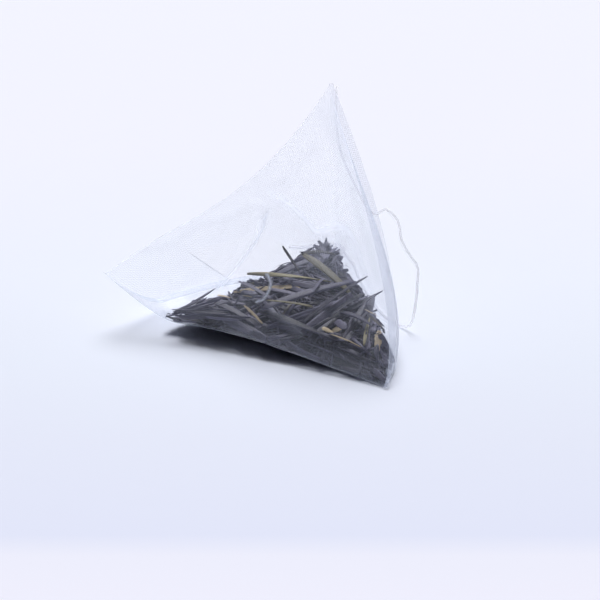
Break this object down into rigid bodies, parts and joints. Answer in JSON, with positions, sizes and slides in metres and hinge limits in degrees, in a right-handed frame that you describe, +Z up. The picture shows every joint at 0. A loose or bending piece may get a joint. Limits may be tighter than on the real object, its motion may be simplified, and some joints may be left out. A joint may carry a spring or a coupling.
{
  "type": "pyramid tea bag",
  "caption": "Four-cornered pouch of fine see-through mesh, part filled with loose needle tea leaves, with a thread and a blank paper tag.",
  "frame": {"origin": "on the surface that the bag rests on, under the middle of the pouch's box", "axes": "+X to the right as the bag is seen with its long slanting fold at the left, +Y away from the viewer, +Z up towards the apex"},
  "size_m": [0.0644, 0.0747, 0.0509],
  "materials": {
    "mesh": "fine white woven nylon mesh, see-through, slightly glossy threads",
    "heap": "dry dark tea leaves, matt",
    "dark_leaf": "dry rolled leaf, near black, faintly glossy along its ribs",
    "olive_leaf": "dry rolled leaf, olive brown",
    "straw_piece": "dry straw-coloured leaf, matt",
    "stem": "dry leaf stem, dark, matt",
    "thread": "thin white twisted cotton thread",
    "paper": "blank white uncoated paper"
  },
  "bodies": {
    "root": {"dark_leaf_01": "dark_leaf", "dark_leaf_02": "dark_leaf", "dark_leaf_03": "dark_leaf", "dark_leaf_04": "dark_leaf", "dark_leaf_05": "dark_leaf", "dark_leaf_06": "dark_leaf", "dark_leaf_07": "dark_leaf", "dark_leaf_08": "dark_leaf", "dark_leaf_09": "dark_leaf", "dark_leaf_10": "dark_leaf", "dark_leaf_11": "dark_leaf", "dark_leaf_12": "dark_leaf", "dark_leaf_13": "dark_leaf", "dark_leaf_14": "dark_leaf", "dark_leaf_15": "dark_leaf", "dark_leaf_16": "dark_leaf", "dark_leaf_17": "dark_leaf", "dark_leaf_18": "dark_leaf", "dark_leaf_19": "dark_leaf", "dark_leaf_20": "dark_leaf", "dark_leaf_21": "dark_leaf", "dark_leaf_22": "dark_leaf", "dark_leaf_23": "dark_leaf", "dark_leaf_24": "dark_leaf", "dark_leaf_25": "dark_leaf", "mesh_pouch": "mesh", "olive_leaf_01": "olive_leaf", "olive_leaf_02": "olive_leaf", "olive_leaf_03": "olive_leaf", "olive_leaf_04": "olive_leaf", "olive_leaf_05": "olive_leaf", "olive_leaf_06": "olive_leaf", "paper_tag": "paper", "stem_01": "stem", "stem_02": "stem", "stem_03": "stem", "straw_piece_01": "straw_piece", "straw_piece_02": "straw_piece", "straw_piece_03": "straw_piece", "straw_piece_04": "straw_piece", "straw_piece_05": "straw_piece", "straw_piece_06": "straw_piece", "straw_piece_07": "straw_piece", "straw_piece_08": "straw_piece", "straw_piece_09": "straw_piece", "tea_heap": "heap", "thread": "thread", "thread_coil": "thread", "thread_tail": "thread"}
  },
  "joints": []
}
